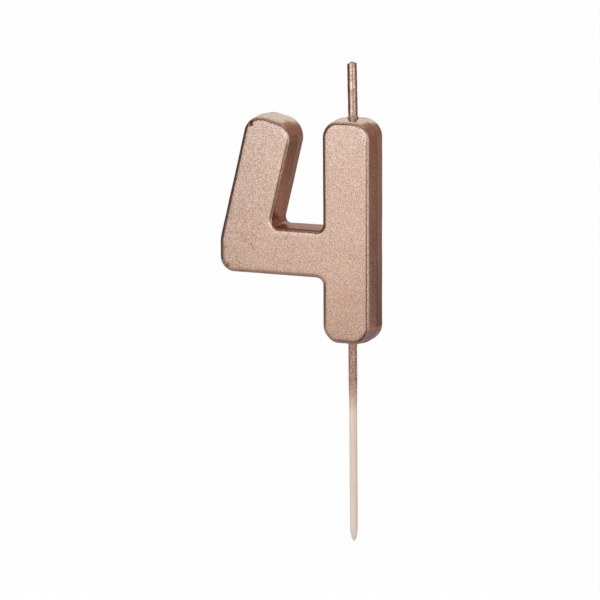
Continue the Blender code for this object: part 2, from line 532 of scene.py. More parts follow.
class Workpiece:
    """One mesh under work, shaped by Blender's operators."""

    def __init__(self, name: str, primitive: Callable[..., Any], **options: Any) -> None:
        """Adds a primitive with nothing else selected.

        Args:
            name: the piece's name.
            primitive: the operator that adds the primitive.
            **options: the operator's own options.
        """
        bpy.ops.object.select_all(action="DESELECT")
        primitive(**options)
        self.item = bpy.context.object
        self.item.name = name
        self.item.data.name = name

    def copy(self, name: str) -> "Workpiece":
        """Copies the piece with a mesh of its own.

        Args:
            name: the copy's name.

        Returns:
            The copy.
        """
        def duplicate() -> None:
            """Duplicates the piece."""
            self.take()
            bpy.ops.object.duplicate(linked=False)

        return Workpiece(name, duplicate)

    def take(self) -> None:
        """Makes this the only selected object, and the active one."""
        bpy.ops.object.select_all(action="DESELECT")
        self.item.select_set(True)
        bpy.context.view_layer.objects.active = self.item

    def settle(self) -> None:
        """Puts the object's place, turn and scale into its mesh."""
        self.take()
        bpy.ops.object.transform_apply(location=True, rotation=True, scale=True)

    def stand(self, pivot: Vector, lean: float) -> None:
        """Tips an upright piece about the Y axis and moves its foot to a pivot.

        Args:
            pivot: where the piece's own origin goes.
            lean: the angle, in radians.
        """
        self.item.location = pivot
        self.item.rotation_euler = (0.0, lean, 0.0)
        self.settle()

    @contextmanager
    def edit(self) -> Iterator[None]:
        """Goes into edit mode, and back when the work in it is done."""
        self.take()
        bpy.ops.object.mode_set(mode="EDIT")
        yield
        bpy.ops.object.mode_set(mode="OBJECT")

    def select(self, part: Part, test: Callable[[Any], bool]) -> None:
        """Selects elements in edit mode.

        Args:
            part: the kind of element.
            test: tells whether an element is wanted.
        """
        bpy.ops.mesh.select_mode(type=part.value)
        bpy.ops.mesh.select_all(action="DESELECT")
        form = bmesh.from_edit_mesh(self.item.data)
        elements = {Part.POINT: form.verts, Part.EDGE: form.edges, Part.FACE: form.faces}[part]
        for element in elements:
            if test(element):
                element.select_set(True)
        form.select_flush_mode()
        bmesh.update_edit_mesh(self.item.data)

    def pick_point(self, point: Vector) -> None:
        """Selects the one vertex at a point."""
        self.select(Part.POINT, lambda vertex: (vertex.co - point).length < NEAR)

    def pick_edge(self, middle: Vector) -> None:
        """Selects the one edge whose middle is at a point."""
        both = middle * 2
        self.select(Part.EDGE, lambda edge: (edge.verts[0].co + edge.verts[1].co - both).length < NEAR)

    def extrude(self, move: Vector) -> None:
        """Extrudes what is selected by a vector."""
        bpy.ops.mesh.extrude_region_move(TRANSFORM_OT_translate={"value": tuple(move)})

    def rings(self, profile: list[tuple[float, float]]) -> None:
        """Extrudes the selected ring along a profile about the Z axis.

        Args:
            profile: radius and height of each ring, starting with the selected one.
        """
        for (radius, height), (next_radius, next_height) in pairwise(profile):
            self.extrude(Vector((0.0, 0.0, next_height - height)))
            ratio = next_radius / radius
            bpy.ops.transform.resize(value=(ratio, ratio, 1.0), center_override=(0.0, 0.0, next_height))

    def stretch(self, ratio: float) -> None:
        """Stretches the whole mesh along the Z axis.

        Args:
            ratio: how many times longer it becomes.
        """
        with self.edit():
            self.select(Part.POINT, lambda vertex: True)
            bpy.ops.transform.resize(value=(1.0, 1.0, ratio), center_override=(0.0, 0.0, 0.0))

    def modify(self, kind: str, **settings: Any) -> None:
        """Adds a modifier and applies it.

        Args:
            kind: the modifier's type.
            **settings: its properties.
        """
        self.take()
        modifier = self.item.modifiers.new(kind.lower(), kind)
        for name, value in settings.items():
            setattr(modifier, name, value)
        bpy.ops.object.modifier_apply(modifier=modifier.name)

    def weigh(self, group: str, weight: Callable[[Vector], float]) -> str:
        """Makes a vertex group from a rule.

        Args:
            group: the group's name.
            weight: gives a vertex's weight from its place.

        Returns:
            The group's name.
        """
        weights = self.item.vertex_groups.new(name=group)
        for vertex in self.item.data.vertices:
            weights.add([vertex.index], weight(vertex.co), "REPLACE")
        return group

    def swell(self, height: float, group: str = "") -> None:
        """Moves the surface out by a height, or in by a negative one, where a vertex group says."""
        self.modify("DISPLACE", strength=height, mid_level=0.0, vertex_group=group)

    def ripple(self, lumps: Lumps, group: str = "") -> None:
        """Pushes the surface in and out by a cloudy pattern.

        Args:
            lumps: the pattern.
            group: the vertex group that it is kept to, where there is one.
        """
        clouds = bpy.data.textures.new(f"{self.item.name}_lumps", "CLOUDS")
        clouds.noise_scale = lumps.size
        self.modify("DISPLACE", texture=clouds, texture_coords="LOCAL", strength=lumps.depth,
                    mid_level=MIDDLE, vertex_group=group)
        bpy.data.textures.remove(clouds)

    def cut(self, cutter: "Workpiece") -> None:
        """Takes another piece's shape away from this one and removes that piece."""
        self.modify("BOOLEAN", operation="DIFFERENCE", solver="EXACT", object=cutter.item)
        bpy.data.objects.remove(cutter.item, do_unlink=True)

    def face_out(self) -> None:
        """Turns every face outwards."""
        with self.edit():
            bpy.ops.mesh.select_all(action="SELECT")
            bpy.ops.mesh.normals_make_consistent(inside=False)

    def dress(self, material: bpy.types.Material, slot: Slot, node: str, crisp: float) -> None:
        """Finishes the piece: smooth shading, its material, and its place in the candle.

        Args:
            material: the piece's finish.
            slot: the record's slot that the finish belongs to; not used.
            node: the node that the piece stands for.
            crisp: the angle past which an edge stays sharp, in radians.
        """
        self.take()
        self.item.vertex_groups.clear()
        bpy.ops.object.shade_smooth_by_angle(angle=crisp)
        self.item.data.materials.clear()
        self.item.data.materials.append(material)
        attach(self.item, BODY)
        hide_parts(node)
        log.info("%s: %d faces, stands for %s", self.item.name, len(self.item.data.polygons), node)


def level_ring(name: str, sides: int, radius: float, spot: Vector, fill: str = "NOTHING") -> Workpiece:
    """Starts a piece as one level ring.

    Args:
        name: the piece's name.
        sides: how many sides the ring has.
        radius: its radius.
        spot: its middle.
        fill: how it is filled.

    Returns:
        The ring.
    """
    piece = Workpiece(name, bpy.ops.mesh.primitive_circle_add, vertices=sides, radius=radius,
                      fill_type=fill, location=spot)
    piece.settle()
    return piece


def socket_rod(name: str, sides: int, radius: float, bottom: float, top: float) -> Workpiece:
    """Makes an upright rod to cut a socket with.

    Args:
        name: the rod's name.
        sides: how many sides it has.
        radius: its radius.
        bottom: the height of its lower end.
        top: the height of its upper end.

    Returns:
        The rod, on the Z axis.
    """
    piece = Workpiece(name, bpy.ops.mesh.primitive_cylinder_add, vertices=sides, radius=radius,
                      depth=top - bottom, location=(0.0, 0.0, (top + bottom) / 2))
    piece.settle()
    return piece


def rise(value: float, low: float, high: float) -> float:
    """Rises evenly from 0 at a low value to 1 at a high one."""
    return min(1.0, max(0.0, (value - low) / (high - low)))


def plateau(value: float, low: float, level: float, edge: float, high: float) -> float:
    """Rises evenly from 0 to 1, stays there and falls again.

    Args:
        value: the place to look at.
        low: where the rise starts.
        level: where it ends.
        edge: where the fall starts.
        high: where it ends.

    Returns:
        A value from 0 to 1.
    """
    return min(rise(value, low, level), 1.0 - rise(value, edge, high))


@dataclass(frozen=True)
class MouldHalf:
    """How one half of the mould shapes the wax: its wall's lean, and its edge, which may be oval."""

    draft: float
    edge_inset: float
    edge_lift: float
    shoulder: float = 0.45 * MM
    shoulder_slope: float = math.radians(2.0)
    wall_rings: int = 7
    edge_rings: int = 15

    def steps(self, depth: float) -> list[tuple[float, float]]:
        """Works out the wall, the rounded edge and the shoulder that leads to the flat.

        Args:
            depth: how deep the half is.

        Returns:
            How far each step goes in and up.
        """
        shoulder_lift = self.shoulder * math.tan(self.shoulder_slope)
        wall_lift = (depth - self.edge_lift - shoulder_lift) / self.wall_rings
        wall = [(wall_lift * math.tan(self.draft), wall_lift)] * self.wall_rings
        angles = [math.pi / 2 * ring / self.edge_rings for ring in range(self.edge_rings + 1)]
        spots = [(-math.cos(angle) * self.edge_inset, math.sin(angle) * self.edge_lift) for angle in angles]
        edge = [(high[0] - low[0], high[1] - low[1]) for low, high in pairwise(spots)]
        return [*wall, *edge, (self.shoulder, shoulder_lift)]


class Nick(NamedTuple):
    """A nick in the front edge, with the share of the full depth that it has."""

    spot: Vector
    size: float
    share: float


@dataclass
class NumeralCasting:
    """The wax four, cast in a mould that opens front and back."""

    height: float = 56.1 * MM
    depth: float = 8.6 * MM
    stem_width: float = 13.1 * MM
    bar_underside: float = 15.9 * MM
    bar_height: float = 12.5 * MM
    elbow_reach: float = 35.2 * MM
    elbow_height: float = 8.6 * MM
    arm_length: float = 34.0 * MM
    arm_width: float = 13.3 * MM
    arm_lean: float = math.radians(14.2)
    stem_foot_radius: float = 4.2 * MM
    stem_top_radius: float = 4.65 * MM
    stem_armpit_radius: float = 1.1 * MM
    crotch_radius: float = 1.6 * MM
    arm_top_radius: float = 5.2 * MM
    elbow_bend_radius: float = 8.0 * MM
    elbow_corner_radius: float = 4.0 * MM
    bar_armpit_radius: float = 1.65 * MM
    front: MouldHalf = MouldHalf(draft=math.radians(6.0), edge_inset=1.05 * MM, edge_lift=0.5 * MM)
    back: MouldHalf = MouldHalf(draft=math.radians(2.0), edge_inset=0.95 * MM, edge_lift=0.95 * MM)
    back_facing: float = 0.9
    lean: float = math.radians(-0.16)
    wick_aside: float = 0.08 * MM
    film: float = 0.14 * MM
    foot_bow: float = 0.35 * MM
    sag: Lumps = Lumps(11.0 * MM, 0.12 * MM)
    waver: Lumps = Lumps(2.4 * MM, 0.022 * MM)
    nick_depth: float = 0.4 * MM
    nicks: tuple[Nick, ...] = (
        Nick(Vector((-26.2, -4.3, 54.15)) * MM, 0.7 * MM, 0.6),
        Nick(Vector((-23.5, -4.3, 54.9)) * MM, 0.25 * MM, 0.3),
        Nick(Vector((-29.1, -4.1, 46.9)) * MM, 0.35 * MM, 0.6),
        Nick(Vector((-33.1, -4.3, 17.5)) * MM, 0.45 * MM, 0.8),
        Nick(Vector((-33.8, -4.2, 18.5)) * MM, 0.3 * MM, 0.5),
        Nick(Vector((-29.0, -4.3, 16.6)) * MM, 0.3 * MM, 0.6),
    )
    # How much of each nick its painted shade covers.
    nick_shade_share: float = 0.9
    slump_depth: float = 0.03 * MM
    slump_front: float = 0.4
    slump_reach: tuple[float, float, float, float] = (-21.2 * MM, -20.4 * MM, -8.5 * MM, -7.0 * MM)
    slump_rise: tuple[float, float, float, float] = (26.55 * MM, 27.05 * MM, 27.3 * MM, 28.0 * MM)
    # Where the crook's painted shade lies, between the bar's top and the arm.
    crook: Crook = Crook(corner=-22.5 * MM, reach=16.2 * MM, floor=27.6 * MM, top=30.8 * MM,
                         front=-4.2 * MM, back=4.1 * MM, edge=0.1 * MM)
    level_angle: float = math.radians(1.0)
    arc_step: float = math.radians(3.0)
    least_segments: int = 3
    straight_from: float = 1.0 * MM
    straight_cuts: int = 24
    rim: float = 0.15 * MM
    grid: float = 1.3 * MM
    crisp: float = math.radians(40.0)

    def __post_init__(self) -> None:
        """Works out the outline's corners in the parting plane."""
        side = self.stem_width / 2
        bar_top = self.bar_underside + self.bar_height
        self.along = Vector((math.sin(self.arm_lean), 0.0, math.cos(self.arm_lean)))
        across = Vector((math.cos(self.arm_lean), 0.0, -math.sin(self.arm_lean)))
        self.foot_left = Vector((-side, 0.0, 0.0))
        self.foot_right = Vector((side, 0.0, 0.0))
        self.top_right = Vector((side, 0.0, self.height))
        self.top_left = Vector((-side, 0.0, self.height))
        self.stem_armpit = Vector((-side, 0.0, bar_top))
        self.bar_armpit = Vector((-side, 0.0, self.bar_underside))
        self.elbow_corner = Vector((-self.elbow_reach, 0.0, self.bar_underside))
        self.elbow_bend = self.elbow_corner + Vector((0.0, 0.0, self.elbow_height))
        self.arm_outer = self.elbow_bend + self.along * self.arm_length
        self.arm_inner = self.arm_outer + across * self.arm_width
        self.crotch = self.arm_inner - self.along * ((self.arm_inner.z - bar_top) / self.along.z)

    def outline(self) -> list[tuple[Vector, float]]:
        """Lists the corners of the four, anticlockwise as read from the front.

        Returns:
            Each corner with its radius.
        """
        return [
            (self.foot_left, self.stem_foot_radius),
            (self.foot_right, self.stem_foot_radius),
            (self.top_right, self.stem_top_radius),
            (self.top_left, self.stem_top_radius),
            (self.stem_armpit, self.stem_armpit_radius),
            (self.crotch, self.crotch_radius),
            (self.arm_inner, self.arm_top_radius),
            (self.arm_outer, self.arm_top_radius),
            (self.elbow_bend, self.elbow_bend_radius),
            (self.elbow_corner, self.elbow_corner_radius),
            (self.bar_armpit, self.bar_armpit_radius),
        ]

    def draw_strokes(self, piece: Workpiece) -> None:
        """Cuts the stem where the bar meets it, pulls out bar, elbow and arm, and joins them to one face.

        Args:
            piece: the flat stem, in edit mode.
        """
        for level in (self.bar_armpit, self.stem_armpit):
            bpy.ops.mesh.select_all(action="SELECT")
            bpy.ops.mesh.bisect(plane_co=tuple(level), plane_no=ALONG_Z)
        piece.pick_edge((self.bar_armpit + self.stem_armpit) / 2)
        piece.extrude(self.crotch - self.stem_armpit)
        piece.extrude(Vector((self.elbow_corner.x - self.crotch.x, 0.0, 0.0)))
        corner = Vector((self.elbow_corner.x, 0.0, self.crotch.z))
        piece.pick_point(corner)
        bpy.ops.transform.translate(value=tuple(self.elbow_bend - corner))
        piece.pick_edge((self.elbow_bend + self.crotch) / 2)
        piece.extrude(self.along * self.arm_length)
        square_end = self.crotch + self.along * self.arm_length
        piece.pick_point(square_end)
        bpy.ops.transform.translate(value=tuple(self.arm_inner - square_end))
        bpy.ops.mesh.select_all(action="SELECT")
        bpy.ops.mesh.dissolve_limited(angle_limit=self.level_angle)

    def round_corners(self, piece: Workpiece) -> None:
        """Rounds each corner of the outline with its own radius.

        Args:
            piece: the flat outline, in edit mode.
        """
        corners = self.outline()
        for index, (corner, radius) in enumerate(corners):
            back = corners[index - 1][0] - corner
            ahead = corners[(index + 1) % len(corners)][0] - corner
            turn = math.pi - back.angle(ahead)
            segments = max(self.least_segments, math.ceil(turn / self.arc_step))
            piece.pick_point(corner)
            bpy.ops.mesh.bevel(affect="VERTICES", offset_type="OFFSET", offset=radius * math.tan(turn / 2),
                               segments=segments, clamp_overlap=False)

    def divide_straights(self, piece: Workpiece) -> None:
        """Divides the straight stretches, so that they can waver, and bows the foot.

        Args:
            piece: the rounded outline, in edit mode.
        """
        piece.select(Part.EDGE, lambda edge: edge.calc_length() > self.straight_from)
        bpy.ops.mesh.subdivide(number_cuts=self.straight_cuts)
        piece.select(Part.POINT, lambda vertex: vertex.co.z < NEAR)
        bpy.ops.transform.translate(value=(0.0, 0.0, -self.foot_bow), use_proportional_edit=True,
                                    proportional_edit_falloff="SMOOTH",
                                    proportional_size=self.stem_foot_radius)

    def raise_half(self, half: MouldHalf) -> None:
        """Raises the selected outline to the front or the back, with a rim on its flat.

        Args:
            half: the half of the mould.
        """
        for inset, lift in [*half.steps(self.depth / 2), (self.rim, 0.0)]:
            bpy.ops.mesh.inset(thickness=inset, depth=lift, use_boundary=True, use_even_offset=True)

    def close_back(self, piece: Workpiece) -> None:
        """Closes the open parting plane with one face, turned to the back and selected.

        Args:
            piece: the raised front, in edit mode.
        """
        piece.select(Part.EDGE, lambda edge: edge.is_boundary)
        bpy.ops.mesh.edge_face_add()
        bpy.ops.mesh.select_all(action="SELECT")
        bpy.ops.mesh.normals_make_consistent(inside=False)
        piece.select(Part.FACE, lambda face: face.normal.y > self.back_facing)

    def grid_flat(self, piece: Workpiece) -> None:
        """Cuts a flat into a grid, so that it can sag a little as cast wax does.

        Args:
            piece: the raised half, in edit mode with its flat selected.
        """
        bpy.ops.mesh.hide(unselected=True)
        low = Vector((self.elbow_corner.x, 0.0, 0.0))
        high = Vector((self.foot_right.x, 0.0, self.arm_outer.z))
        for axis in (Vector(ALONG_X), Vector(ALONG_Z)):
            cuts = math.floor((high - low).dot(axis) / self.grid)
            for cut in range(1, cuts + 1):
                bpy.ops.mesh.select_all(action="SELECT")
                bpy.ops.mesh.bisect(plane_co=tuple(low + axis * self.grid * cut), plane_no=tuple(axis))
        bpy.ops.mesh.reveal()

    def wick_foot(self) -> Vector:
        """Gives the place on the stem's top where the wick stands."""
        return Vector((self.wick_aside, 0.0, self.height))

    def nicked(self, place: Vector) -> float:
        """Tells how deep a spot lies in the nicks of the front edge, from 0 to 1."""
        depths = [nick.share * (1.0 - (place - nick.spot).length / nick.size) for nick in self.nicks]
        return max(0.0, *depths)

    def nick_shades(self) -> tuple[NickShade, ...]:
        """Lists the spots of painted shade in the nicks."""
        return tuple(NickShade(nick.spot, nick.size * self.nick_shade_share) for nick in self.nicks)

    def slumped(self, place: Vector) -> float:
        """Tells how far a spot lies in the softened front edge of the bar's top, from 0 to 1."""
        front = float(place.y < -self.slump_front * self.depth)
        return front * plateau(place.x, *self.slump_reach) * plateau(place.z, *self.slump_rise)

    def build(self, sockets: list[Workpiece], finish: RoseGoldLacquer) -> None:
        """Models the casting, opens the sockets and lacquers it.

        Args:
            sockets: cutters for the wick's and the pick's sockets.
            finish: the lacquer.
        """
        middle = Vector((0.0, 0.0, self.height / 2))
        piece = Workpiece("numeral_casting", bpy.ops.mesh.primitive_plane_add, size=1.0, location=middle,
                          rotation=(math.pi / 2, 0.0, 0.0))
        piece.settle()
        with piece.edit():
            bpy.ops.transform.resize(value=(self.stem_width, 1.0, self.height),
                                     center_override=tuple(middle))
            self.draw_strokes(piece)
            self.round_corners(piece)
            self.divide_straights(piece)
            piece.select(Part.FACE, lambda face: True)
            self.raise_half(self.front)
            self.grid_flat(piece)
            self.close_back(piece)
            self.raise_half(self.back)
            self.grid_flat(piece)
        piece.face_out()
        piece.stand(Vector(), self.lean)
        piece.swell(self.film)
        piece.ripple(self.sag)
        piece.ripple(self.waver)
        piece.swell(-self.slump_depth, piece.weigh("slumped", self.slumped))
        piece.swell(-self.nick_depth, piece.weigh("nicked", self.nicked))
        for socket in sockets:
            piece.cut(socket)
        # The lacquer with painted shade in the crook and in the nicks.
        shaded_lacquer = replace(finish, crook=self.crook, nick_shades=self.nick_shades())
        piece.dress(shaded_lacquer.material("rose_gold_lacquer"), Slot.LACQUER, "numeral_body", self.crisp)


@dataclass
class Wick:
    """Three twisted cotton plies in a coat of priming wax, with the bead that seals it into the stem."""

    foot: Vector
    diameter: float = 2.4 * MM
    standing: float = 13.9 * MM
    set_depth: float = 38.0 * MM
    lean: float = math.radians(-1.33)
    gap: float = 0.2 * MM
    socket_sides: int = 48
    bore: float = 1.65 * MM
    coat_sides: int = 96
    coat_ring: float = 0.22 * MM
    coat_lumps: Lumps = Lumps(2.6 * MM, 0.16 * MM)
    coat_grit: Lumps = Lumps(0.55 * MM, 0.05 * MM)
    coat_crisp: float = math.radians(50.0)
    shoulder: float = 0.1 * MM
    shoulder_rings: int = 4
    slant: float = 0.22 * MM
    slant_share: float = 0.6
    seam_azimuth: float = math.radians(38.0)
    seam_half_width: float = math.radians(11.5)
    seam_depth: float = 0.14 * MM
    seam_fade: tuple[float, float] = (0.5 * MM, 2.0 * MM)
    plies: int = 3
    ply_diameter: float = 0.62 * MM
    ply_circle: float = 0.416 * MM
    ply_lay: float = 10.0 * MM
    ply_proud: float = 0.2 * MM
    ply_sides: int = 16
    ply_turn_steps: int = 24
    ply_cap: tuple[tuple[float, float], ...] = ((1 / 8, 1 / 12), (1 / 6, 1 / 24))
    ply_crisp: float = math.radians(40.0)
    bead_radius: float = 1.36 * MM
    bead_height: float = 1.1 * MM
    bead_overlap: float = 0.06 * MM
    bead_swell: float = 0.06 * MM
    bead_swell_share: float = 0.625
    bead_slope: float = 1.6
    bead_sides: int = 64
    bead_rings: int = 10
    bead_lumps: Lumps = Lumps(0.5 * MM, 0.5 * MM)
    bead_crisp: float = math.radians(60.0)

    def socket(self) -> Workpiece:
        """Makes the cutter for the wick's socket.

        Returns:
            The cutter, standing where the wick does.
        """
        radius = self.diameter / 2 + self.gap
        bottom = -self.set_depth - self.gap
        cutter = socket_rod("wick_socket", self.socket_sides, radius, bottom, self.standing)
        cutter.stand(self.foot, self.lean)
        return cutter

    def outside(self, place: Vector) -> bool:
        """Tells whether a spot lies on the coat's outside and not in its bore."""
        return place.xy.length > (self.bore + self.diameter) / 4

    def exposed(self, place: Vector) -> float:
        """Tells whether a spot lies on the coat's outside above the stem: 1 if it does, or else 0."""
        return float(place.z > self.gap and self.outside(place))

    def seamed(self, place: Vector) -> float:
        """Tells how deep a spot lies in the seam that the yarn leaves along its coat, from 0 to 1."""
        aside = abs(math.atan2(place.x, -place.y) - self.seam_azimuth) / self.seam_half_width
        return max(0.0, 1.0 - aside) * rise(place.z, *self.seam_fade) * float(self.outside(place))

    def build_coat(self, finish: RoseGoldLacquer) -> None:
        """Draws the tube of priming wax up from its set end, round its shoulder and back down its bore.

        Args:
            finish: the lacquer on the wax.
        """
        outer = self.diameter / 2
        inner = self.bore / 2
        bottom = -self.set_depth
        shaft = self.standing - self.shoulder
        rings = math.ceil(shaft / self.coat_ring)
        profile = [(outer, bottom), (outer, bottom / 2)]
        profile += [(outer, shaft * ring / rings) for ring in range(rings + 1)]
        for step in range(1, self.shoulder_rings + 1):
            angle = math.pi / 2 * step / self.shoulder_rings
            inset = self.shoulder * (1.0 - math.cos(angle))
            profile.append((outer - inset, shaft + self.shoulder * math.sin(angle)))
        profile += [(inner, self.standing), (inner, 0.0), (inner, bottom)]
        piece = level_ring("wick_coat", self.coat_sides, outer, Vector((0.0, 0.0, bottom)))
        with piece.edit():
            piece.select(Part.EDGE, lambda edge: True)
            piece.rings(profile)
            piece.select(Part.EDGE, lambda edge: edge.is_boundary)
            bpy.ops.mesh.bridge_edge_loops()
        piece.face_out()
        top = shaft - self.coat_ring
        side = -inner * self.slant_share
        with piece.edit():
            piece.select(Part.POINT, lambda vertex: vertex.co.z > top and vertex.co.x < side)
            bpy.ops.transform.translate(value=(0.0, 0.0, -self.slant))
        exposed = piece.weigh("exposed", self.exposed)
        piece.ripple(self.coat_lumps, exposed)
        piece.ripple(self.coat_grit, exposed)
        piece.swell(-self.seam_depth, piece.weigh("seam", self.seamed))
        piece.stand(self.foot, self.lean)
        piece.dress(finish.material("wick_lacquer"), Slot.WICK, "wick_sheath", self.coat_crisp)

    def twist_ply(self) -> Workpiece:
        """Twists one ply along the wick.

        Returns:
            The ply, upright on the Z axis.
        """
        bottom = self.gap - self.set_depth
        length = self.standing + self.ply_proud - bottom

        def upper_end(face: bmesh.types.BMFace) -> bool:
            """Tells whether a face closes the ply's upper end."""
            return len(face.verts) == self.ply_sides and face.calc_center_median().z > length / 2

        turns = length / self.ply_lay
        steps = math.ceil(turns * self.ply_turn_steps)
        start = Vector((self.ply_circle, 0.0, 0.0))
        piece = level_ring("wick_yarn_1", self.ply_sides, self.ply_diameter / 2, start)
        piece.modify("SCREW", angle=math.tau * turns, screw_offset=length, steps=steps, render_steps=steps,
                     use_smooth_shade=True, use_merge_vertices=False)
        with piece.edit():
            bpy.ops.mesh.select_all(action="SELECT")
            bpy.ops.mesh.fill_holes(sides=0)
            piece.select(Part.FACE, upper_end)
            for inset, lift in self.ply_cap:
                bpy.ops.mesh.inset(thickness=self.ply_diameter * inset, depth=self.ply_diameter * lift)
        piece.face_out()
        piece.item.location = (0.0, 0.0, bottom)
        piece.item.rotation_euler = (0.0, 0.0, math.tau * bottom / self.ply_lay)
        piece.settle()
        return piece

    def build_plies(self, finish: CottonYarn) -> None:
        """Twists one ply and copies it round the axis.

        Args:
            finish: the cotton.
        """
        material = finish.material("cotton_yarn")
        first = self.twist_ply()
        plies = [first] + [first.copy(f"wick_yarn_{number}") for number in range(2, self.plies + 1)]
        for number, piece in enumerate(plies, 1):
            piece.item.rotation_euler = (0.0, 0.0, math.tau * number / self.plies)
            piece.settle()
            piece.stand(self.foot, self.lean)
            piece.dress(material, Slot.COTTON, f"wick_ply_{number}", self.ply_crisp)

    def build_bead(self, finish: RoseGoldLacquer) -> None:
        """Draws the bead up from the stem's top to the wick, and lets it run into lumps.

        Args:
            finish: the lacquer on the wax.
        """
        inner = self.diameter / 2 - self.bead_overlap
        profile = [(inner, self.bead_height), (inner, 0.0)]
        for step in range(self.bead_rings + 1):
            share = step / self.bead_rings
            swell = self.bead_swell * math.sin(math.pi * min(1.0, share / self.bead_swell_share))
            spread = (self.bead_radius - inner) * (1.0 - share) ** self.bead_slope
            profile.append((inner + spread + swell, self.bead_height * share))
        piece = level_ring("wick_bead", self.bead_sides, inner, Vector((0.0, 0.0, self.bead_height)))
        with piece.edit():
            piece.select(Part.EDGE, lambda edge: True)
            piece.rings(profile)
            bpy.ops.mesh.select_all(action="SELECT")
            bpy.ops.mesh.remove_doubles(threshold=WELD)
        piece.face_out()
        lumps = piece.weigh("lumps", lambda place: float(place.xy.length > inner + NEAR and place.z > NEAR))
        piece.ripple(self.bead_lumps, lumps)
        piece.modify("SUBSURF", levels=1, render_levels=1)
        piece.stand(self.foot, self.lean)
        piece.dress(finish.material("bead_lacquer"), Slot.LACQUER, "wick_seal", self.bead_crisp)


@dataclass
class Pick:
    """The wooden stick, pressed into the stem's foot and sprayed with it."""

    diameter: float = 2.0 * MM
    length: float = 65.0 * MM
    set_depth: float = 13.0 * MM
    point_length: float = 4.2 * MM
    point_rings: int = 12
    chamfer: float = 0.2 * MM
    lean: float = math.radians(-0.4)
    gap: float = 0.2 * MM
    sides: int = 40
    ring: float = 0.6 * MM
    grain: Lumps = Lumps(0.45 * MM, 0.04 * MM)
    grain_stretch: float = 25.0
    film: float = 0.11 * MM
    film_fade: tuple[float, float] = (-17.0 * MM, -10.0 * MM)
    film_lumps: Lumps = Lumps(0.7 * MM, 0.12 * MM)
    crisp: float = math.radians(40.0)

    def socket(self) -> Workpiece:
        """Makes the cutter for the pick's socket.

        Returns:
            The cutter, standing where the pick does.
        """
        radius = self.diameter / 2 + self.gap
        top = self.set_depth + self.gap
        cutter = socket_rod("pick_socket", self.sides, radius, self.set_depth - self.length, top)
        cutter.stand(Vector(), self.lean)
        return cutter

    def sprayed(self, place: Vector) -> float:
        """Tells how much of the film lies on a spot, from 0 to 1."""
        return rise(place.z, *self.film_fade)

    def build(self, finish: SprayedWood) -> None:
        """Draws the stick down from its cut end to its bullet point, raises its grain and sprays its top.

        Args:
            finish: lacquer over wood.
        """
        radius = self.diameter / 2
        tip = self.set_depth - self.length
        point = tip + self.point_length
        start = self.set_depth - self.chamfer
        cut = radius - self.chamfer
        rings = math.ceil((start - point) / self.ring)
        profile = [(cut, self.set_depth)]
        profile += [(radius, start + (point - start) * ring / rings) for ring in range(rings + 1)]
        for step in range(1, self.point_rings):
            angle = math.pi / 2 * step / self.point_rings
            profile.append((radius * math.cos(angle), point - self.point_length * math.sin(angle)))
        piece = level_ring("pick_stick", self.sides, cut, Vector((0.0, 0.0, self.set_depth)), "NGON")
        with piece.edit():
            piece.select(Part.EDGE, lambda edge: edge.is_boundary)
            piece.rings(profile)
            piece.extrude(Vector((0.0, 0.0, tip - profile[-1][1])))
            bpy.ops.mesh.merge(type="CENTER")
        piece.face_out()
        # The grain is raised while the stick is squashed, so that it runs along the stick.
        piece.stretch(1.0 / self.grain_stretch)
        piece.ripple(self.grain)
        piece.stretch(self.grain_stretch)
        film = piece.weigh("film", self.sprayed)
        piece.swell(self.film, film)
        piece.ripple(self.film_lumps, film)
        piece.stand(Vector(), self.lean)
        piece.dress(finish.material("sprayed_pick"), Slot.WOOD, "pick", self.crisp)


@dataclass(frozen=True)
class TentCard:
    """A card in the light tent, in degrees as seen from the candle."""

    azimuth: float
    half_width: float
    low: float
    high: float
    feather: float
    colour: Colour

    def soft_edge(self, angle: float) -> tuple[float, float]:
        """Gives both sides of a feathered edge, in radians."""
        return math.radians(angle - self.feather), math.radians(angle + self.feather)

    def mask(self, graph: ShaderGraph, ray: Socket) -> Socket:
        """Tells how far a spot of the tent lies in this card.

        Args:
            graph: the tent's graph.
            ray: the direction from the candle to the spot, of length 1.

        Returns:
            A value from 0 to 1.
        """
        turn = math.radians(self.azimuth)
        ahead = graph.along(ray, (math.sin(turn), -math.cos(turn), 0.0))
        aside = graph.along(ray, (math.cos(turn), math.sin(turn), 0.0))
        sweep = abs(graph.add("ShaderNodeMath", {"operation": "ARCTAN2"}, {0: aside, 1: ahead}))
        climb = graph.add("ShaderNodeMath", {"operation": "ARCSINE"}, {0: graph.along(ray, ALONG_Z)})
        outside = sweep.step(*self.soft_edge(self.half_width))
        above_low = climb.step(*self.soft_edge(self.low))
        above_high = climb.step(*self.soft_edge(self.high))
        return (1.0 - outside) * above_low * (1.0 - above_high)


class Lamp(NamedTuple):
    """A soft square lamp: its place from the camera's aim, its side in metres and its power in watts."""

    name: str
    spot: Vector
    side: float
    power: float


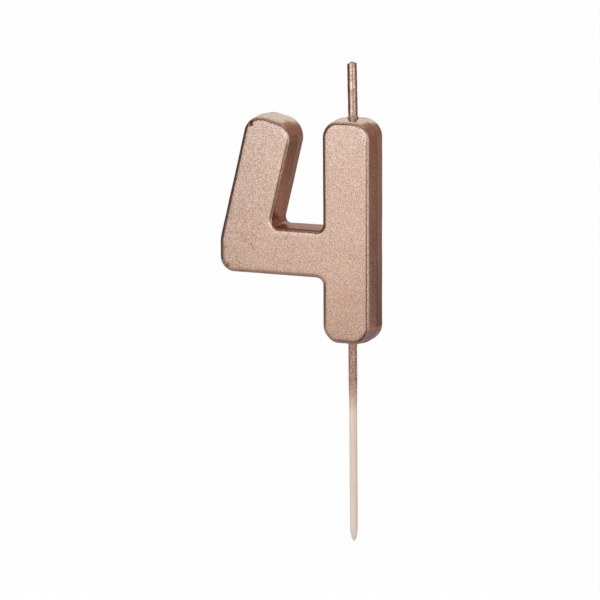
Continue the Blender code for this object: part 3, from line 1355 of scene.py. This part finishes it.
@dataclass
class Studio:
    """The camera, the pale floor, the light tent and the lamps.

    A card's numbers are its azimuth, half width, lower edge, upper edge and feather, and then its colour.
    Where cards overlap, a later one hides an earlier one.
    """

    floor_level: float
    aim: Vector
    azimuth: float = math.radians(25.04)
    elevation: float = math.radians(10.6)
    distance: float = 709.1 * MM
    roll: float = math.radians(0.19)
    lens: float = 168.0
    sensor: float = 36.0
    clip: tuple[float, float] = (0.01, 100.0)
    floor_size: float = 16.0
    floor_tone: float = 0.94
    floor_white: float = 0.96
    world_light: float = 0.6
    lamps: tuple[Lamp, ...] = (
        Lamp("key_lamp", Vector((0.2, -0.8, 0.5)), 0.7, 3.5),
        Lamp("fill_lamp", Vector((-0.7, -0.5, 0.4)), 0.6, 1.2),
    )
    tent_radius: float = 420.0 * MM
    tent_segments: int = 96
    tent_rings: int = 48
    tent_hem: float = 0.5 * MM
    fabric: Colour = (0.33, 0.28, 0.26)
    # Below the candle: the ground, paler on the left and darker in front.
    ground: tuple[TentCard, ...] = (
        TentCard(-42.0, 26.0, -120.0, -11.0, 5.0, (0.72, 0.6, 0.525)),
        TentCard(-42.0, 26.0, -120.0, -17.0, 4.0, (0.55, 0.49, 0.47)),
        TentCard(0.0, 200.0, -120.0, -30.0, 7.0, (0.36, 0.31, 0.32)),
        TentCard(0.0, 17.0, -45.0, -16.0, 3.5, (0.17, 0.12, 0.11)),
    )
    # Above it: the tent's roof, brighter on the left.
    sky: tuple[TentCard, ...] = (
        TentCard(0.0, 200.0, 52.0, 120.0, 6.0, (0.66, 0.6, 0.55)),
        TentCard(-100.0, 75.0, 48.0, 120.0, 6.0, (0.92, 0.95, 0.91)),
    )
    # Right and behind: a dark and a pale card, then the copper that the side walls mirror.
    right_and_behind: tuple[TentCard, ...] = (
        TentCard(98.0, 24.0, -30.0, -4.0, 3.0, (0.2, 0.14, 0.12)),
        TentCard(126.0, 11.5, -24.0, 3.0, 2.0, (0.82, 0.73, 0.67)),
        TentCard(149.0, 12.0, -26.0, 24.0, 2.0, (0.24, 0.122, 0.086)),
        TentCard(149.0, 12.0, -14.0, -6.0, 2.0, (0.12, 0.075, 0.067)),
        TentCard(156.0, 24.0, 9.0, 42.0, 5.0, (0.33, 0.198, 0.16)),
        TentCard(158.0, 20.0, 35.0, 46.0, 3.0, (0.42, 0.3, 0.26)),
        TentCard(158.0, 5.0, -10.0, 7.0, 2.5, (0.32, 0.235, 0.22)),
        TentCard(165.0, 4.0, -10.0, 12.0, 2.0, (0.27, 0.14, 0.11)),
        TentCard(143.0, 5.0, -24.0, -15.0, 2.0, (0.26, 0.18, 0.17)),
        TentCard(153.5, 6.5, -24.0, -14.5, 1.3, (0.41, 0.225, 0.175)),
        TentCard(160.0, 18.0, -40.0, -24.0, 3.0, (0.28, 0.215, 0.23)),
        TentCard(168.0, 6.0, -24.0, -8.0, 3.0, (0.2, 0.09, 0.06)),
    )
    # Left and behind: a dark corner and the pale card that lights the back.
    left_and_behind: tuple[TentCard, ...] = (
        TentCard(-170.0, 14.0, -40.0, -16.0, 4.0, (0.19, 0.15, 0.14)),
        TentCard(-154.0, 33.0, -24.0, 3.0, 3.0, (0.75, 0.68, 0.62)),
    )
    # At the sides: dark screens, with paler cards above them.
    sides: tuple[TentCard, ...] = (
        TentCard(-75.0, 44.0, -15.0, 16.0, 3.0, (0.17, 0.12, 0.1)),
        TentCard(-85.0, 35.0, -3.0, 12.0, 3.0, (0.11, 0.08, 0.07)),
        TentCard(-30.0, 25.0, 26.0, 52.0, 5.0, (0.52, 0.48, 0.44)),
        TentCard(-155.0, 24.0, 4.0, 17.5, 2.5, (0.55, 0.485, 0.435)),
        TentCard(-155.0, 30.0, 17.5, 120.0, 4.0, (0.89, 0.89, 0.84)),
        TentCard(122.0, 14.0, -3.0, 10.0, 3.0, (0.13, 0.095, 0.085)),
    )
    # In front: the white panels that light the flat front, with their hot spots.
    front: tuple[TentCard, ...] = (
        TentCard(40.0, 22.0, 3.0, 24.0, 5.0, (1.1, 1.1, 1.1)),
        TentCard(48.0, 23.0, -11.0, 14.0, 3.0, (1.12, 1.06, 1.12)),
        TentCard(48.0, 23.0, -13.0, -8.0, 2.0, (1.05, 0.92, 0.89)),
        TentCard(-15.0, 15.5, -12.5, -4.0, 4.5, (1.09, 1.0, 0.94)),
        TentCard(-16.5, 14.0, -5.0, 7.0, 4.0, (1.08, 1.07, 1.09)),
        TentCard(-29.5, 5.0, -6.0, 6.0, 2.5, (0.98, 1.0, 1.04)),
        TentCard(-18.0, 18.0, 3.0, 8.0, 1.5, (1.6, 1.66, 1.7)),
        TentCard(-20.0, 6.0, 3.5, 7.5, 1.5, (1.9, 2.1, 2.2)),
        TentCard(5.0, 9.0, -1.5, 6.0, 2.0, (1.7, 1.63, 1.6)),
        TentCard(2.5, 8.0, 5.0, 20.0, 2.5, (2.0, 2.1, 2.2)),
    )
    # Screens and strips before the panels, which draw the edges.
    accents: tuple[TentCard, ...] = (
        TentCard(-51.0, 33.0, 8.0, 27.0, 2.5, (0.13, 0.09, 0.07)),
        TentCard(42.0, 14.0, -2.5, 8.0, 2.5, (0.5, 0.39, 0.33)),
        TentCard(82.0, 8.0, -2.0, 8.0, 2.5, (1.03, 1.0, 1.02)),
        TentCard(13.0, 9.0, -10.0, -1.5, 2.5, (0.1, 0.08, 0.07)),
        TentCard(14.0, 11.0, -45.0, -11.5, 2.5, (0.11, 0.08, 0.065)),
    )

    def cards(self) -> Iterator[TentCard]:
        """Goes through the cards in the order in which they are hung."""
        return chain(self.ground, self.sky, self.right_and_behind, self.left_and_behind, self.sides,
                     self.front, self.accents)

    def place_camera(self) -> None:
        """Sets the camera at the photograph's angle."""
        camera = bpy.data.cameras.new("camera")
        camera.lens = self.lens
        camera.sensor_width = self.sensor
        camera.clip_start, camera.clip_end = self.clip
        holder = bpy.data.objects.new("camera", camera)
        bpy.context.scene.collection.objects.link(holder)
        flat = math.cos(self.elevation)
        aside = math.sin(self.azimuth) * flat
        ahead = math.cos(self.azimuth) * flat
        back = Vector((aside, -ahead, math.sin(self.elevation)))
        holder.location = self.aim + back * self.distance
        holder.rotation_mode = "QUATERNION"
        holder.rotation_quaternion = (-back).to_track_quat("-Z", "Y") @ Quaternion(ALONG_Z, -self.roll)
        bpy.context.scene.camera = holder

    def shown(self, graph: ShaderGraph) -> Socket:
        """Tells the rays that show the background: straight ones, mirrored ones and those through glass.

        Args:
            graph: the graph of the floor or of the world.

        Returns:
            A value that is 1 for such a ray, or else 0.
        """
        names = ("Is Camera Ray", "Is Glossy Ray", "Is Transmission Ray")
        camera, glossy, through = (graph.add("ShaderNodeLightPath", output=name) for name in names)
        return (camera + glossy + through).at_most(1.0)

    def lay_floor(self) -> None:
        """Lays the pale floor, which shows white and keeps the candle's shadow."""
        bpy.ops.object.select_all(action="DESELECT")
        bpy.ops.mesh.primitive_plane_add(size=self.floor_size, location=(0.0, 0.0, self.floor_level))
        floor = bpy.context.object
        floor.name = "floor"
        material, graph = new_material("pale_floor")
        lit = graph.add("ShaderNodeBsdfDiffuse", None, {"Color": (*(self.floor_tone,) * 3, 1.0)})
        white = graph.add("ShaderNodeEmission", None, {"Color": WHITE})
        shown = self.shown(graph) * self.floor_white
        mix = graph.add("ShaderNodeMixShader", None, {0: shown, 1: lit, 2: white})
        graph.end("ShaderNodeOutputMaterial", mix)
        material.cycles.emission_sampling = "NONE"
        floor.data.materials.append(material)

    def pitch_tent(self) -> None:
        """Pitches the tent that the metal mirrors: warm grey fabric, hung with cards of many tones."""
        bpy.ops.object.select_all(action="DESELECT")
        bpy.ops.mesh.primitive_uv_sphere_add(segments=self.tent_segments, ring_count=self.tent_rings,
                                             radius=self.tent_radius, location=self.aim)
        tent = bpy.context.object
        tent.name = "light_tent"
        ground = self.floor_level + self.tent_hem - self.aim.z
        for vertex in tent.data.vertices:
            vertex.co.z = max(vertex.co.z, ground)
        material, graph = new_material("tent_fabric")
        ray = graph.unit(graph.place())
        colour = self.fabric
        for card in self.cards():
            colour = graph.blend(card.mask(graph, ray), colour, card.colour)
        graph.end("ShaderNodeOutputMaterial", graph.add("ShaderNodeEmission", None, {"Color": colour}))
        material.cycles.emission_sampling = "NONE"
        tent.data.materials.append(material)
        tent.visible_camera = False
        tent.visible_diffuse = False
        tent.visible_transmission = False
        tent.visible_shadow = False

    def hang(self, lamp: Lamp) -> None:
        """Hangs one lamp, facing the candle.

        Args:
            lamp: the lamp.
        """
        light = bpy.data.lights.new(lamp.name, "AREA")
        light.size = lamp.side
        light.energy = lamp.power
        holder = bpy.data.objects.new(lamp.name, light)
        holder.location = self.aim + lamp.spot
        holder.rotation_mode = "QUATERNION"
        holder.rotation_quaternion = (-lamp.spot).to_track_quat("-Z", "Y")
        holder.visible_glossy = False
        bpy.context.scene.collection.objects.link(holder)

    def light(self) -> None:
        """Sets the white surroundings and hangs the lamps."""
        world = bpy.data.worlds.new("studio")
        world.use_nodes = True
        bpy.context.scene.world = world
        graph = ShaderGraph(world.node_tree)
        soft = graph.add("ShaderNodeBackground", None, {"Color": WHITE, "Strength": self.world_light})
        white = graph.add("ShaderNodeBackground", None, {"Color": WHITE})
        mix = graph.add("ShaderNodeMixShader", None, {0: self.shown(graph), 1: soft, 2: white})
        graph.end("ShaderNodeOutputWorld", mix)
        for lamp in self.lamps:
            self.hang(lamp)
        bpy.context.scene.view_settings.view_transform = "Standard"

    def build(self) -> None:
        """Sets up everything that isn't part of the candle."""
        self.place_camera()
        self.lay_floor()
        self.pitch_tent()
        self.light()


def main() -> None:
    """Builds the candle and its studio."""
    logging.basicConfig(level=logging.INFO, format="%(message)s")
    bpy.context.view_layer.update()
    lacquer = RoseGoldLacquer()
    overspray = replace(lacquer, light=(1.0, 0.7, 0.58), dark=(0.4, 0.225, 0.17), roughness=0.34,
                        flake=0.25 * MM)
    casting = NumeralCasting()
    wick = Wick(foot=casting.wick_foot())
    pick = Pick()
    casting.build([wick.socket(), pick.socket()], lacquer)
    wick.build_coat(lacquer)
    wick.build_plies(CottonYarn())
    wick.build_bead(lacquer)
    pick.build(SprayedWood(overspray, PaleWood()))
    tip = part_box("pick")[0].z
    Studio(floor_level=tip, aim=Vector((-14.61, 0.0, 9.24)) * MM).build()


if __name__ == "__main__":
    main()
